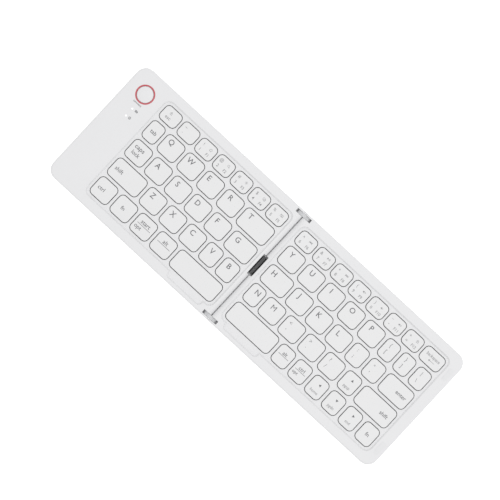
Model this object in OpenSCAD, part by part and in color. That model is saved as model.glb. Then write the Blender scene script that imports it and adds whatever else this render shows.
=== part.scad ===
// Two-part folding keyboard: flat chiclet keys in two thin shells that
// close face to face on a link hinge with two parallel axes.
// X runs along the keyboard, Y towards the number row, Z up from the table.

/* [Shells] */
// Front-to-back size of the keyboard
body_d = 97; // [92:0.5:110]
// Height of each shell, from underside to rim
shell_h = 7; // [6.8:0.1:8]
// Radius of the outer corners seen from above
corner_r = 7.5; // [5:0.5:12]
// Thickness of the outer walls
wall = 1.3; // [1:0.1:2]
// Thickness of the bottom cover's floor
floor_t = 0.8; // [0.6:0.1:1]
// Radius of the rounding along the rim
rim_round = 1; // [0.4:0.1:1.2]
// Radius of the rounding along the underside
base_round = 1.3; // [0.6:0.1:1.6]

/* [Key field] */
// Width of a letter key
key_w = 14.9; // [14:0.1:15.5]
// Depth of a letter key
key_d = 14; // [13:0.1:14.5]
// Width of a number key
number_w = 13.5; // [12.5:0.1:14]
// Depth of a number key
number_d = 10.8; // [9:0.1:12]
// Width of the narrow keys at the row ends
narrow_w = 12; // [11.4:0.1:12.5]
// Width of the slim bracket keys and the tabulator
slim_w = 10.7; // [10.2:0.1:11.2]
// Width of the long letter keys beside the fold in the upper row
long_w = 24.3; // [20:0.1:25]
// Width of the medium letter keys beside the fold in the middle row
medium_w = 19.9; // [18:0.1:20.5]
// Width of the left shift key
left_shift_w = 25.8; // [22:0.1:26]
// Width of the right shift key
right_shift_w = 28.6; // [24:0.1:29]
// Width of the enter key
enter_w = 22.4; // [20:0.1:23]
// Width of the backspace key
backspace_w = 16.5; // [15:0.1:17]
// Width of each space bar
space_w = 37.9; // [34:0.1:38.5]
// Least gap between the keys of a number row
number_gap = 2.5; // [2.4:0.1:4]
// Least gap between the keys of the other rows
letter_gap = 3; // [2.6:0.1:4]
// Gap between two rows
row_gap = 2.9; // [2.4:0.1:3.6]
// Corner radius of the keys
key_r = 2.9; // [2:0.1:3.5]
// Distance from the fold line to the nearest keys
fold_margin = 6.5; // [6:0.1:9]
// Distance from the rear edge to the number row
rear_margin = 9.2; // [8:0.1:11]
// Plain strip at the left end, past the keys
strip_w = 29.8; // [29:0.1:40]
// Least margin at the right end, past the keys
end_margin = 10.5; // [9:0.1:16]

/* [Key caps] */
// Running gap between a key and its opening
key_gap = 0.5; // [0.3:0.05:0.55]
// Travel of a key
key_travel = 1.2; // [0.8:0.1:1.3]
// Drop of the key tops below the rim
key_drop = 0.2; // [0.1:0.05:0.4]
// Wall of a cap
cap_wall = 0.9; // [0.7:0.1:1.1]
// Bevel round the top of a cap
cap_bevel = 0.35; // [0.2:0.05:0.5]
// Width that a cap's flange stands out
flange_w = 0.85; // [0.7:0.05:0.9]
// Thickness of a cap's flange
flange_t = 0.5; // [0.3:0.05:0.6]

/* [Wells] */
// Depth of the key wells below the rim
well_depth = 1.2; // [1:0.1:1.8]
// Plate under the floor of a well
well_plate = 1; // [0.8:0.1:1.1]
// Margin of a well round its keys
well_margin = 2.9; // [2.2:0.1:3.2]
// Width of the slope down into a well
well_slope = 1; // [0.4:0.1:1.2]
// Corner radius of a well
well_r = 5; // [3:0.5:6]
// Depth of the thumb notch in front of a space bar
thumb_d = 4; // [2:0.5:4.5]
// Inset of the thumb notch from the ends of the space bar
thumb_inset = 3.5; // [1:0.5:6]

/* [Fold] */
// Gap between the two shells at the fold line
fold_gap = 0.4; // [0.3:0.05:0.8]
// Radius of the hinge links' round ends
link_r = 1.4; // [1.2:0.05:1.6]
// Thickness of a hinge link
link_t = 2.3; // [1.8:0.1:2.8]
// Side clearance of a link in its pocket
link_clear = 0.15; // [0.1:0.05:0.3]
// Shell wall outside a link pocket
cheek_t = 1.4; // [1.2:0.1:2]
// Radius of the hinge pins
pin_r = 0.75; // [0.6:0.05:0.9]
// Running clearance of the pins in the shells
pin_clear = 0.04; // [0.02:0.01:0.08]
// Running clearance between the spine bar and the shells' round edges
spine_clear = 0.25; // [0.2:0.05:0.4]
// Length of the notch for the ribbon cable
notch_len = 17; // [14:0.5:24]
// Width of the notch for the ribbon cable
notch_w = 3.9; // [3.5:0.1:4.2]
// Distance of the notch from the middle, towards the rear
notch_y = 0.8; // [-3:0.1:3]
// Width of the ribbon cable
ribbon_w = 14; // [8:0.5:16]
// Thickness of the ribbon cable
ribbon_t = 0.3; // [0.2:0.05:0.35]

/* [Switch layers] */
// Thickness of the metal plates under the keys
plate_t = 0.5; // [0.4:0.05:0.6]
// Thickness of the printed contact sheets
membrane_t = 0.3; // [0.2:0.05:0.35]
// Thickness of the rubber dome sheets
dome_sheet_t = 0.2; // [0.15:0.05:0.25]
// Radius of a rubber dome at its foot
dome_r = 2.8; // [2.4:0.1:3.2]

/* [Strip] */
// Distance of the pairing button from the left end
button_x = 14.2; // [12:0.1:18]
// Distance of the pairing button from the rear edge
button_y = 15.3; // [12:0.1:18]
// Outer radius of the coloured ring
ring_r = 6.7; // [5:0.1:8]
// Width of the coloured ring
ring_w = 0.95; // [0.8:0.05:1.8]
// Travel of the pairing button
button_travel = 0.4; // [0.2:0.05:0.5]
// Radius of the status lights
light_r = 0.6; // [0.4:0.05:0.9]
// Distance from the button to the first status light
light_drop = 12.6; // [11:0.1:14]
// Distance between the status lights
light_pitch = 6.2; // [4:0.1:7]
// Width of the charging socket
port_w = 8.9; // [8.8:0.05:9]
// Height of the charging socket
port_h = 3.2; // [3.1:0.05:3.3]
// Length of the charging socket
port_l = 7.3; // [6.5:0.1:8]
// Distance of the charging socket from the middle, towards the rear
port_y = 12; // [10:0.5:16]
// Length of the battery
battery_l = 44; // [36:1:46]
// Width of the battery
battery_w = 20; // [16:0.5:22]
// Height of the battery
battery_h = 3.8; // [3:0.1:4.4]

/* [Feet and fasteners] */
// Height that the rubber feet stand out
foot_h = 0.6; // [0.4:0.1:1]
// Depth of the recess that holds a foot
foot_recess = 0.3; // [0.2:0.05:0.4]
// Length of a rubber foot
foot_l = 16; // [10:1:24]
// Width of a rubber foot
foot_w = 5; // [4:0.5:7]
// Distance of the feet from the front and rear edges
foot_inset = 10.5; // [9:0.5:14]
// Distance of the inner feet from the fold line
foot_near = 22; // [18:1:34]
// Distance of the outer feet from the ends
foot_far = 20; // [14:1:30]
// Radius of the screws' threads
screw_r = 0.8; // [0.6:0.05:0.9]
// Radius of the screw heads
screw_head_r = 1.5; // [1.2:0.05:1.6]
// Radius of the screw bosses
boss_r = 2.2; // [2:0.1:2.4]
// Distance of the screws from the front and rear edges
screw_inset = 4.6; // [4.2:0.1:5]
// Length of the closing pads on the right end
pad_l = 9.4; // [6:0.1:14]
// Width of the closing pads
pad_w = 3; // [2:0.1:4]
// Height that the closing pads stand above the rim
pad_proud = 0.3; // [0.2:0.05:0.35]
// Distance of the closing pads from the middle
pad_y = 33.3; // [24:0.1:36]
// Distance of the closing pads from the right end
pad_inset = 4; // [3.6:0.1:5]

/* [Hidden] */
// Smoothness of round bodies and of the arcs in outlines
$fn = 48;
arc_steps = 5;
eps = 0.01;

// Heights, from the table up
base_z = foot_h;
rim_z = foot_h + shell_h;
axis_z = foot_h + shell_h / 2;
floor_z = base_z + floor_t;
well_z = rim_z - well_depth;
under_z = well_z - well_plate;
key_z = rim_z - key_drop;
plate_z = floor_z;
membrane_z = plate_z + plate_t;
domes_z = membrane_z + membrane_t;
flange_clear = 0.05;
flange_z = under_z - flange_clear;
cap_z = flange_z - flange_t;
ceiling_z = key_z - cap_wall;
dome_top_z = domes_z + dome_sheet_t + key_travel + 0.75;
top_t = 1.2;
lid_z = rim_z - top_t;

// The fold: both axes lie at half height, one on each side of the fold line
fold_r = shell_h / 2;
axis_x = fold_r + fold_gap / 2;
lip_t = 1;
lip_r = fold_r - lip_t;

// Widths of the keys, from left to right; the first row is the number row
left_rows = [
    [for (i = [1:7]) number_w],
    [slim_w, key_w, key_w, key_w, key_w, long_w],
    [key_w, key_w, key_w, key_w, key_w, medium_w],
    [left_shift_w, key_w, key_w, key_w, narrow_w, narrow_w],
    [key_w, key_w, key_w, key_w, space_w]
];
right_rows = [
    [for (i = [1:8]) i < 8 ? number_w : backspace_w],
    [key_w, key_w, key_w, key_w, key_w, slim_w, slim_w, slim_w],
    [medium_w, key_w, key_w, key_w, narrow_w, narrow_w, enter_w],
    [slim_w, key_w, key_w, key_w, key_w, narrow_w, right_shift_w],
    [space_w, narrow_w, narrow_w, narrow_w, narrow_w, narrow_w, narrow_w]
];

// Names of the keys that have a node of their own, in the same order
left_names = [
    [for (i = [1:7]) "numbers"],
    ["side", "q", "w", "e", "r", "t"],
    ["side", "a", "s", "d", "f", "g"],
    ["side", "z", "x", "c", "v", "b"],
    ["side", "side", "side", "side", "space"]
];
right_names = [
    [for (i = [1:8]) "numbers"],
    ["y", "u", "i", "o", "p", "marks", "marks", "marks"],
    ["h", "j", "k", "l", "marks", "marks", "side"],
    ["n", "m", "marks", "marks", "marks", "side", "side"],
    ["space", "side", "side", "side", "side", "side", "side"]
];

// Sum of the first n values of a list
function total(list, n) = n <= 0 ? 0 : list[n - 1] + total(list, n - 1);
function least_gap(row) = row == 0 ? number_gap : letter_gap;
function row_length(rows, row) = total(rows[row], len(rows[row])) + (len(rows[row]) - 1) * least_gap(row);
function field_length(rows) = max([for (row = [0:len(rows) - 1]) row_length(rows, row)]);
left_field = field_length(left_rows);
right_field = field_length(right_rows);

// Both halves are equally long, so the longer one sets their length
half_len = max(fold_margin + left_field + strip_w, fold_margin + right_field + end_margin);

// Each row is spread over the whole field, so its gaps follow from its widths
function spread_gap(rows, row) =
    (field_length(rows) - total(rows[row], len(rows[row]))) / (len(rows[row]) - 1);
function key_offset(rows, row, i) = total(rows[row], i) + i * spread_gap(rows, row) + rows[row][i] / 2;
function left_x(row, i) = -fold_margin - left_field + key_offset(left_rows, row, i);
function right_x(row, i) = fold_margin + key_offset(right_rows, row, i);
function row_depth(row) = row == 0 ? number_d : key_d;
function row_y(row) = body_d / 2 - rear_margin - number_d / 2
    - (row == 0 ? 0 : (number_d + key_d) / 2 + row_gap + (row - 1) * (key_d + row_gap));
field_rear = row_y(0) + number_d / 2;
field_front = row_y(4) - key_d / 2;

// Key list entries: name, X, Y, width, depth
function keys_of(side) = [
    for (row = [0:4], i = [0:len(side == "left" ? left_rows[row] : right_rows[row]) - 1])
        side == "left"
            ? [left_names[row][i], left_x(row, i), row_y(row), left_rows[row][i], row_depth(row)]
            : [right_names[row][i], right_x(row, i), row_y(row), right_rows[row][i], row_depth(row)]
];
left_keys = keys_of("left");
right_keys = keys_of("right");
left_space = [for (k = left_keys) if (k[0] == "space") k][0];
right_space = [for (k = right_keys) if (k[0] == "space") k][0];

// Hinge blocks, pockets and pins at the front and rear ends of the fold
pocket_w = link_t + 2 * link_clear;
pocket_room = 1.1;
pocket_x = axis_x + link_r + pocket_room;
block_wall = 1.2;
block_x = pocket_x + block_wall;
link_y = body_d / 2 - cheek_t - pocket_w / 2;
pin_in = 3.3;
pin_out = 0.8;
pin_room = 0.1;
pin_wall = 0.6;
block_y = link_y - pocket_w / 2 - pin_in - pin_wall;
floor_gap = 0.2;
lug_x = 1.6;
lug_gap = 0.4;
spine_r = fold_r + spine_clear;
spine_lift = 0.2;
spine_low = fold_r - spine_lift;
spine_end_gap = 0.3;
spine_top = 1.5;
saddle_top = 2.5;
saddle_x = 1.1;
tenon_r = 0.5;
tenon_l = 1.2;

// The ribbon cable's slot through the round edges, and its height over the saddle
ribbon_lift = 0.1;
ribbon_room = 0.3;
slot_low = 2.35;
slot_h = 0.9;
sleeve_t = 0.3;

pad_recess_t = 0.5;
pad_r = 1;

// The layers under the keys end short of the hinge blocks and the walls
layer_x = 5.2;
layer_r = 1.5;
layer_clear = 0.3;
layer_over = 1.6;
layer_y = min(block_y, body_d / 2 - screw_inset - boss_r) - layer_clear;
layer_end = [fold_margin + left_field + layer_over, fold_margin + right_field + layer_over];
strip_x = fold_margin + left_field + well_margin;

// The strip's parts
button_at = [-half_len + button_x, body_d / 2 - button_y];
board_t = 0.8;
board_z = floor_z + 0.5;
board_top = board_z + board_t;
board_x = [-half_len + 3, -strip_x - 1.6];
board_y = [port_y - port_w / 2 - 1.5, body_d / 2 - screw_inset - boss_r - 0.5];
button_clear = 0.25;
button_r = ring_r - ring_w - button_clear;
ring_depth = 0.8;
ring_proud = 0.05;
plunger_gap = button_travel + 0.1;
switch_w = 4;
switch_h = 1.6;
plunger_r = 1.3;
emitter = [1.6, 1, 0.6];
chip = [5, 5, 0.9];
plug = [4.5, 3, 1.6];
battery_y = board_y[0] - 1.5 - battery_l / 2;
battery_x = (-half_len + 2.2 - strip_x) / 2;
battery_r = 1.2;
port_z = board_top + port_h / 2;
port_inset = 0.4;
port_x = -half_len + port_inset;
port_clear = 0.15;
port_t = 0.3;
port_back = 1.2;
tongue_in = 2;
tongue_w = 6.2;
tongue_t = 0.7;

// Screws and feet of one half
screw_near = block_x + boss_r + 1;
screw_far = half_len - 6.2;
screw_xs = [screw_near, (screw_near + screw_far) / 2, screw_far];
screw_y = body_d / 2 - screw_inset;
foot_xs = [foot_near, half_len - foot_far];
head_z = base_z + 0.2;
screw_head_t = 0.8;
recess_r = 1;
recess_w = 0.4;
recess_t = 0.4;
head_clear = 0.15;
thread_clear = 0.1;
thread_room = 0.6;
foot_y = body_d / 2 - foot_inset;

SINGLE_LEFT = ["q", "w", "e", "r", "t", "a", "s", "d", "f", "g", "z", "x", "c", "v", "b"];
SINGLE_RIGHT = ["y", "u", "i", "o", "p", "h", "j", "k", "l", "n", "m"];

// Rounded rectangle about the origin, with its round corners as short arcs
function round_box(w, d, r) = [
    for (c = [0:3], k = [0:arc_steps - 1])
        let (a = 90 * (c + k / (arc_steps - 1)))
        [(c == 0 || c == 3 ? w / 2 - r : r - w / 2) + r * cos(a),
         (c < 2 ? d / 2 - r : r - d / 2) + r * sin(a)]
];

module slab(w, d, r, z0, z1) {
    translate([0, 0, z0]) linear_extrude(z1 - z0) polygon(round_box(w, d, r));
}

// Closed solid through outlines with equally many points, listed from the lowest up
module stacked(rings) {
    n = len(rings[0]);
    top = n * (len(rings) - 1);
    polyhedron(
        points = [for (ring = rings, p = ring) p],
        faces = concat(
            [[for (i = [0:n - 1]) i]],
            [for (j = [0:len(rings) - 2], i = [0:n - 1])
                [j * n + i, (j + 1) * n + i, (j + 1) * n + (i + 1) % n, j * n + (i + 1) % n]],
            [[for (i = [n - 1:-1:0]) top + i]]
        )
    );
}

// One point list for an arc about c, from angle a0 to a1
function arc(c, r, a0, a1, n) = [for (k = [0:n]) let (a = a0 + (a1 - a0) * k / n) c + r * [cos(a), sin(a)]];

// Side view of a half, X outwards and Z up: a slab with a half-round edge at the fold
function half_profile() = concat(
    arc([axis_x, axis_z], fold_r, 270, 90, 20),
    [[half_len + 1, rim_z], [half_len + 1, base_z]]
);

// Side view of the room inside a half, with a round inner wall at the fold
function room_profile() = concat(
    arc([axis_x, axis_z], lip_r, 270, 180 - asin((under_z - axis_z) / lip_r), 12),
    [[half_len, under_z], [half_len, floor_z], [axis_x + 0.6, floor_z]]
);

// Turns a side view into a solid that runs from front to rear
module across(y0, y1) {
    translate([0, y1, 0]) rotate([90, 0, 0]) linear_extrude(y1 - y0) children();
}

// Plan of a half, X outwards, drawn in by the given inset at its three outer sides
module half_plan(inset) {
    r = corner_r - inset;
    polygon(concat(
        [[-1, inset - body_d / 2]],
        arc([half_len - corner_r, corner_r - body_d / 2], r, -90, 0, 8),
        arc([half_len - corner_r, body_d / 2 - corner_r], r, 0, 90, 8),
        [[-1, body_d / 2 - inset]]
    ));
}

module layer(inset, z0, z1) {
    translate([0, 0, z0]) linear_extrude(z1 - z0) half_plan(inset);
}

// The left half is the mirror image of the right one
module sided(side) {
    if (side == "left") mirror([1, 0, 0]) children();
    else children();
}

// Mirrors its children to the front and the rear
module front_and_rear() {
    children();
    mirror([0, 1, 0]) children();
}

// Upper part of a half, with a rounded rim and a half-round edge at the fold
module upper_block() {
    intersection() {
        hull() {
            layer(0, axis_z, rim_z - rim_round);
            for (a = [30, 60, 90])
                layer(rim_round * (1 - cos(a)), rim_z - rim_round, rim_z - rim_round * (1 - sin(a)));
        }
        across(-body_d / 2, body_d / 2) polygon(half_profile());
    }
}

module lower_block() {
    intersection() {
        hull() {
            for (a = [30, 60, 90])
                layer(base_round * (1 - cos(a)), base_z + base_round * (1 - sin(a)), base_z + base_round);
            layer(0, base_z + base_round, axis_z);
        }
        across(-body_d / 2, body_d / 2) polygon(half_profile());
    }
}

// Room for the switch layers, the keys and the strip's parts
module room() {
    difference() {
        intersection() {
            layer(wall, base_z, rim_z);
            across(-body_d / 2, body_d / 2) polygon(room_profile());
        }
        front_and_rear() translate([-1, block_y, base_z]) cube([block_x + 1, body_d, shell_h]);
    }
}

// What the hinge cuts out of a half: pockets, pin bores and the notch for the ribbon cable
module fold_cuts() {
    front_and_rear() {
        translate([-1, link_y - pocket_w / 2, axis_z - link_r - floor_gap])
            cube([pocket_x + 1, pocket_w, shell_h]);
        translate([-1, link_y - pocket_w / 2, base_z - 1])
            cube([lug_x + lug_gap + 1, pocket_w, shell_h]);
        translate([axis_x, link_y + pocket_w / 2 + pin_out + pin_room, axis_z]) rotate([90, 0, 0])
            cylinder(r = pin_r + pin_clear, h = pocket_w + pin_in + pin_out + 2 * pin_room);
    }
    translate([-1, notch_y - notch_len / 2, base_z - 1])
        cube([1 + notch_w / 2, notch_len, shell_h + 2]);
    translate([-1, notch_y - ribbon_w / 2 - ribbon_room, axis_z - slot_low])
        cube([axis_x + 1, ribbon_w + 2 * ribbon_room, slot_h]);
}

// The well with its thumb notch, drawn in actual X for one half
module well(side) {
    field = side == "left" ? left_field : right_field;
    bar = side == "left" ? -left_space[1] : right_space[1];
    x0 = fold_margin - well_margin;
    x1 = fold_margin + field + well_margin;
    translate([(x0 + x1) / 2, (field_rear + field_front) / 2, 0])
        basin(x1 - x0, field_rear - field_front + 2 * well_margin, well_r);
    translate([bar, field_front - well_margin, 0])
        basin(space_w - 2 * thumb_inset, 2 * thumb_d, well_slope + thumb_d / 2);
}

// Basin from the rim down to the floor of a well, with sloping sides
module basin(w, d, r) {
    stacked([
        [for (p = round_box(w - 2 * well_slope, d - 2 * well_slope, r - well_slope)) [p[0], p[1], well_z]],
        [for (p = round_box(w, d, r)) [p[0], p[1], rim_z]],
        [for (p = round_box(w, d, r)) [p[0], p[1], rim_z + 1]]
    ]);
}

module key_openings(list, sign) {
    for (k = list)
        translate([sign * k[1], k[2], 0])
            slab(k[3] + 2 * key_gap, k[4] + 2 * key_gap, key_r + key_gap, under_z - 1, rim_z);
}

module screw_places() {
    for (x = screw_xs) front_and_rear() translate([x, screw_y, 0]) children();
}

module light_places() {
    for (i = [0:1]) translate([button_at[0], button_at[1] - light_drop - i * light_pitch, 0]) children();
}

// Stadium-shaped socket outline, lying along X
module port_shape(w, h, x0, x1) {
    r = h / 2;
    translate([x0, port_y, port_z]) rotate([90, 0, 90]) linear_extrude(x1 - x0)
        polygon(round_box(w, h, r - eps));
}

module port_hole() {
    port_shape(port_w + 2 * port_clear, port_h + 2 * port_clear, port_x - 1.4, port_x + port_l + 0.6);
}

module top_deck(side) {
    keys = side == "left" ? left_keys : right_keys;
    difference() {
        sided(side) {
            difference() {
                upper_block();
                well(side);
                difference() {
                    room();
                    screw_places() translate([0, 0, axis_z]) cylinder(r = boss_r, h = shell_h);
                }
                key_openings(keys, side == "left" ? -1 : 1);
                fold_cuts();
                screw_places() translate([0, 0, axis_z - 1])
                    cylinder(r = screw_r, h = lid_z - axis_z + thread_room);
                if (side == "right")
                    front_and_rear() pad_recess();
            }
        }
        if (side == "left") strip_room();
        if (side == "left") strip_openings();
    }
}

module pad_recess() {
    translate([half_len - pad_inset, pad_y, 0]) slab(pad_w, pad_l, pad_r, rim_z - pad_recess_t, rim_z + 1);
}

// Higher room under the strip, clear of the screw bosses
module strip_room() {
    difference() {
        intersection() {
            mirror([1, 0, 0]) layer(wall, axis_z - 1, lid_z);
            translate([-half_len, -body_d, axis_z - 1])
                cube([half_len - strip_x - 1, 2 * body_d, lid_z - axis_z + 1]);
        }
        mirror([1, 0, 0]) screw_places() translate([0, 0, axis_z - 2]) cylinder(r = boss_r, h = shell_h);
    }
}

module strip_openings() {
    translate([button_at[0], button_at[1], 0]) {
        translate([0, 0, rim_z - ring_depth]) cylinder(r = ring_r, h = 2);
        translate([0, 0, axis_z]) cylinder(r = button_r + button_clear, h = shell_h);
    }
    light_places() translate([0, 0, axis_z]) cylinder(r = light_r, h = shell_h);
    port_hole();
}

module bottom_case(side) {
    difference() {
        sided(side) {
            difference() {
                lower_block();
                difference() {
                    room();
                    screw_places() translate([0, 0, base_z]) cylinder(r = boss_r, h = shell_h);
                }
                fold_cuts();
                screw_places() {
                    translate([0, 0, base_z - 1])
                        cylinder(r = screw_head_r + head_clear, h = 1 + head_z - base_z + screw_head_t);
                    translate([0, 0, base_z]) cylinder(r = screw_r + thread_clear, h = shell_h);
                }
                foot_places() slab(foot_l, foot_w, foot_w / 2 - eps, base_z - 1, base_z + foot_recess);
            }
        }
        if (side == "left") port_hole();
    }
    if (side == "left") board_posts();
}

// Low posts that carry the circuit board
module board_posts() {
    for (x = [board_x[0] + 2, board_x[1] - 2], y = [board_y[0] + 2, board_y[1] - 2])
        translate([x, y, floor_z]) cylinder(r = 1.2, h = board_z - floor_z);
}

module foot_places() {
    for (x = foot_xs) front_and_rear() translate([x, foot_y, 0]) children();
}

module feet(side) {
    sided(side) foot_places() slab(foot_l, foot_w, foot_w / 2 - eps, 0, base_z + foot_recess);
}

module screws(side) {
    sided(side) screw_places() {
        difference() {
            union() {
                translate([0, 0, head_z]) cylinder(r = screw_head_r, h = screw_head_t);
                translate([0, 0, head_z]) cylinder(r = screw_r, h = lid_z - head_z - 1);
            }
            for (a = [0, 90]) rotate(a) translate([-recess_r, -recess_w / 2, base_z])
                cube([2 * recess_r, recess_w, head_z - base_z + recess_t]);
        }
    }
}

// Flat layers under the keys: X outwards from the fold
module key_layer(side, z0, t, x0) {
    x1 = layer_end[side == "left" ? 0 : 1];
    sided(side) translate([(x0 + x1) / 2, 0, 0]) slab(x1 - x0, 2 * layer_y, layer_r, z0, z0 + t);
}

module dome_sheet(side) {
    keys = side == "left" ? left_keys : right_keys;
    difference() {
        union() {
            key_layer(side, domes_z, dome_sheet_t, fold_margin - 0.3);
            for (k = keys) translate([k[1], k[2], domes_z])
                cylinder(r1 = dome_r, r2 = dome_r * 0.55, h = dome_top_z - domes_z);
        }
        for (k = keys) translate([k[1], k[2], domes_z - eps])
            cylinder(r1 = dome_r - 0.4, r2 = dome_r * 0.55 - 0.35, h = dome_top_z - domes_z - 0.5);
    }
}

// One key cap: a hollow cap with a bevelled top, a flange under the deck and a stem on its dome
module key_cap(k) {
    w = k[3];
    d = k[4];
    translate([k[1], k[2], 0]) {
        difference() {
            union() {
                stacked([
                    [for (p = round_box(w, d, key_r)) [p[0], p[1], cap_z]],
                    [for (p = round_box(w, d, key_r)) [p[0], p[1], key_z - cap_bevel]],
                    [for (p = round_box(w - 2 * cap_bevel, d - 2 * cap_bevel, key_r - cap_bevel))
                        [p[0], p[1], key_z]]
                ]);
                slab(w + 2 * flange_w, d + 2 * flange_w, key_r + flange_w, cap_z, flange_z);
            }
            slab(w - 2 * cap_wall, d - 2 * cap_wall, key_r - cap_wall, cap_z - 1, ceiling_z);
        }
        translate([0, 0, dome_top_z]) cylinder(r = dome_r * 0.5, h = ceiling_z - dome_top_z);
    }
}

module keys_named(list, name) {
    for (k = list) if (k[0] == name) key_cap(k);
}

// Side view of a hinge link: round ends on both axes and a lug down to the spine bar
module hinge_link() {
    y0 = link_y - link_t / 2;
    difference() {
        union() {
            across(y0, y0 + link_t) polygon(concat(
                arc([axis_x, axis_z], link_r, -90, 90, 16),
                arc([-axis_x, axis_z], link_r, 90, 270, 16)
            ));
            translate([-lug_x, y0, axis_z - spine_low]) cube([2 * lug_x, link_t, spine_low]);
        }
        for (s = [-1, 1]) translate([s * axis_x, y0 + link_t + 1, axis_z]) rotate([90, 0, 0])
            cylinder(r = pin_r, h = link_t + 2);
        translate([0, y0 + tenon_l, axis_z - saddle_top]) rotate([90, 0, 0])
            cylinder(r = tenon_r, h = tenon_l + 1);
    }
}

module hinge_pin_set() {
    for (s = [-1, 1]) front_and_rear()
        translate([s * axis_x, link_y + pocket_w / 2 + pin_out, axis_z]) rotate([90, 0, 0])
            cylinder(r = pin_r, h = pocket_w + pin_in + pin_out);
}

// Half width of the spine bar at a depth below the axes, between the two round edges
function spine_x(depth) = axis_x - sqrt(spine_r * spine_r - depth * depth);
function spine_profile(top) = concat(
    [for (k = [0:6]) let (d = top + (spine_low - top) * k / 6) [spine_x(d), axis_z - d]],
    [for (k = [6:-1:0]) let (d = top + (spine_low - top) * k / 6) [-spine_x(d), axis_z - d]]
);

// Bar that fills the groove under the fold line, with a saddle for the ribbon cable
module spine() {
    y_end = link_y - link_t / 2;
    rear_end = notch_y + notch_len / 2 - spine_end_gap;
    front_end = notch_y - notch_len / 2 + spine_end_gap;
    across(rear_end, y_end) polygon(spine_profile(spine_top));
    across(-y_end, front_end) polygon(spine_profile(spine_top));
    across(front_end, rear_end) polygon(spine_profile(saddle_top));
    translate([-saddle_x, front_end, axis_z - spine_low])
        cube([2 * saddle_x, rear_end - front_end, spine_low - saddle_top]);
    front_and_rear() translate([0, y_end + tenon_l, axis_z - saddle_top]) rotate([90, 0, 0])
        cylinder(r = tenon_r, h = tenon_l + 1);
}

// Side view of the ribbon cable: flat on both membranes, lower over the spine bar's saddle
saddle_z = axis_z - saddle_top + ribbon_lift;
function ribbon_low(x) =
    let (t = min(1, max(0, (abs(x) - saddle_x) / 2)))
    saddle_z + (domes_z - saddle_z) * t * t * (3 - 2 * t);
ribbon_xs = [for (k = [-12:12]) k * (layer_x + 0.9) / 12];

module ribbon() {
    across(notch_y - ribbon_w / 2, notch_y + ribbon_w / 2) polygon(concat(
        [for (x = ribbon_xs) [x, ribbon_low(x)]],
        [for (k = [len(ribbon_xs) - 1:-1:0]) [ribbon_xs[k], ribbon_low(ribbon_xs[k]) + ribbon_t]]
    ));
    across(notch_y - notch_len / 2 + 1, notch_y + notch_len / 2 - 1)
        translate([-saddle_x, saddle_z]) square([2 * saddle_x, ribbon_t + sleeve_t]);
}

module left_bottom_case() { color([0.9, 0.9, 0.9]) bottom_case("left"); }
module right_bottom_case() { color([0.9, 0.9, 0.9]) bottom_case("right"); }
module left_top_deck() { color([0.93, 0.93, 0.93]) top_deck("left"); }
module right_top_deck() { color([0.93, 0.93, 0.93]) top_deck("right"); }
module left_key_plate() { color("silver") key_layer("left", plate_z, plate_t, layer_x); }
module right_key_plate() { color("silver") key_layer("right", plate_z, plate_t, layer_x); }
module left_membrane() { color([0.3, 0.5, 0.35]) key_layer("left", membrane_z, membrane_t, layer_x); }
module right_membrane() { color([0.3, 0.5, 0.35]) key_layer("right", membrane_z, membrane_t, layer_x); }
module left_dome_sheet() { color([0.8, 0.8, 0.78]) dome_sheet("left"); }
module right_dome_sheet() { color([0.8, 0.8, 0.78]) dome_sheet("right"); }

module battery() {
    color([0.6, 0.62, 0.66]) translate([battery_x, battery_y, 0])
        slab(battery_w, battery_l, battery_r, floor_z, floor_z + battery_h);
}

module circuit_board() {
    color([0.1, 0.35, 0.2]) translate([(board_x[0] + board_x[1]) / 2, (board_y[0] + board_y[1]) / 2, 0])
        slab(board_x[1] - board_x[0], board_y[1] - board_y[0], 1, board_z, board_top);
}

// Pairing switch, light emitters, radio chip and battery plug on the board
module board_parts() {
    color([0.15, 0.15, 0.16]) {
        translate([button_at[0], button_at[1], board_top]) {
            translate([-switch_w / 2, -switch_w / 2, 0]) cube([switch_w, switch_w, 0.75 * switch_h]);
            cylinder(r = switch_w / 4, h = switch_h);
        }
        light_places() translate([-emitter[0] / 2, -emitter[1] / 2, board_top]) cube(emitter);
        translate([board_x[1] - chip[0] - 2, port_y + port_w / 2 + 3.5, board_top]) cube(chip);
        translate([board_x[1] - plug[0] - 1.5, board_y[0] + 1, board_top]) cube(plug);
    }
}

module charging_port() {
    color("silver") difference() {
        port_shape(port_w, port_h, port_x, port_x + port_l);
        port_shape(port_w - 2 * port_t, port_h - 2 * port_t, port_x - 1, port_x + port_l - port_back);
    }
    color([0.15, 0.15, 0.16]) translate([port_x + tongue_in, port_y - tongue_w / 2, port_z - tongue_t / 2])
        cube([port_l - tongue_in - port_back / 2, tongue_w, tongue_t]);
}

module status_lights() {
    light_z = board_top + emitter[2] + 0.1;
    color([1, 1, 1]) light_places() translate([0, 0, light_z]) cylinder(r = light_r, h = rim_z - light_z);
}

module connect_ring() {
    color([0.85, 0.2, 0.25]) translate([button_at[0], button_at[1], rim_z - ring_depth]) difference() {
        cylinder(r = ring_r, h = ring_depth + ring_proud);
        translate([0, 0, -1]) cylinder(r = ring_r - ring_w, h = 3);
    }
}

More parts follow.
